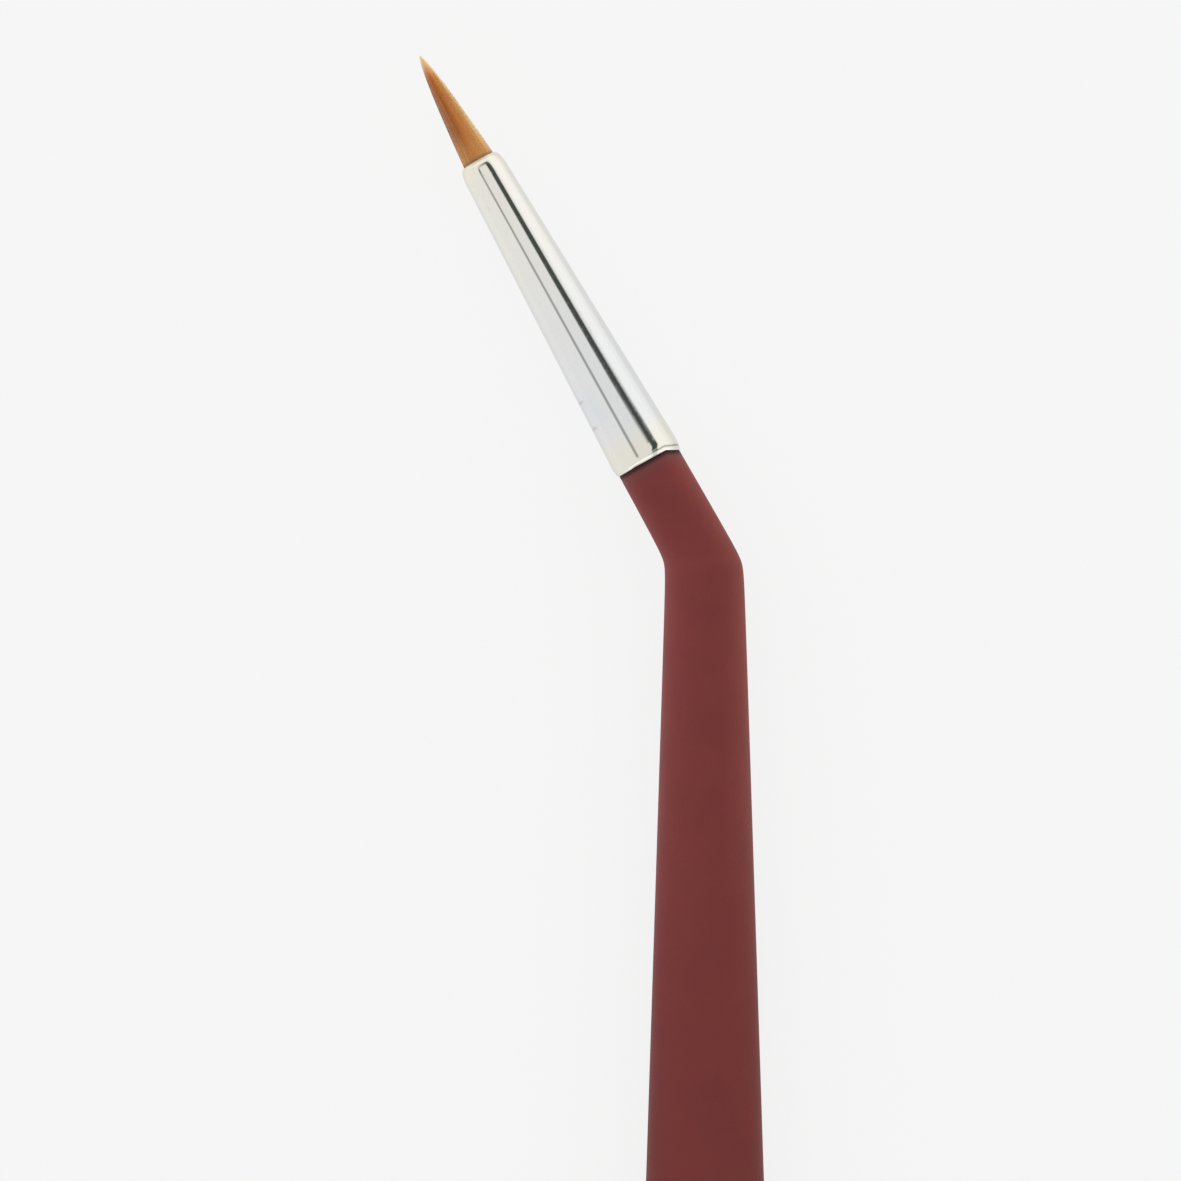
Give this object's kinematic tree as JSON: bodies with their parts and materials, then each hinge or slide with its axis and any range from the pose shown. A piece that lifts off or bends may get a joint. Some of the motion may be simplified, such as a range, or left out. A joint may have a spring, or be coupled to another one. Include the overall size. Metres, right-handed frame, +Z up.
{
  "type": "fine detail brush",
  "caption": "Fine detail brush with an angled head: a pointed tuft that flexes, a tapered metal ferrule and a long moulded handle, thickest where it is gripped.",
  "frame": {"origin": "on the table that the brush lies on, below the middle of the box round it", "axes": "+Z up from the table; +Y along the straight handle, from the tail towards the head; the head leans towards -X, level with the table; the brush is symmetric about the level plane through the handle's axis"},
  "size_m": [0.0258, 0.1594, 0.0094],
  "materials": {
    "handle": "matte burgundy, soft-touch",
    "ferrule": "polished nickel-like plating",
    "filament": "amber synthetic filament, fine and glossy",
    "thread": "waxed thread",
    "epoxy": "set amber resin",
    "adhesive": "set clear glue"
  },
  "bodies": {
    "root": {"handle": "handle", "ferrule": "ferrule", "tenon_adhesive": "adhesive", "root_epoxy": "epoxy", "tuft_root": "filament", "binding_thread": "thread"},
    "tuft": {"tuft_tip": "filament"}
  },
  "joints": [
    {"name": "tuft_flex", "type": "hinge", "parent": "root", "child": "tuft", "pos_m": [-0.00912, 0.07303, 0.00468], "axis": [0, 0, 1], "range_deg": [-30, 30], "stiffness_Nm_per_rad": 0.0008}
  ]
}
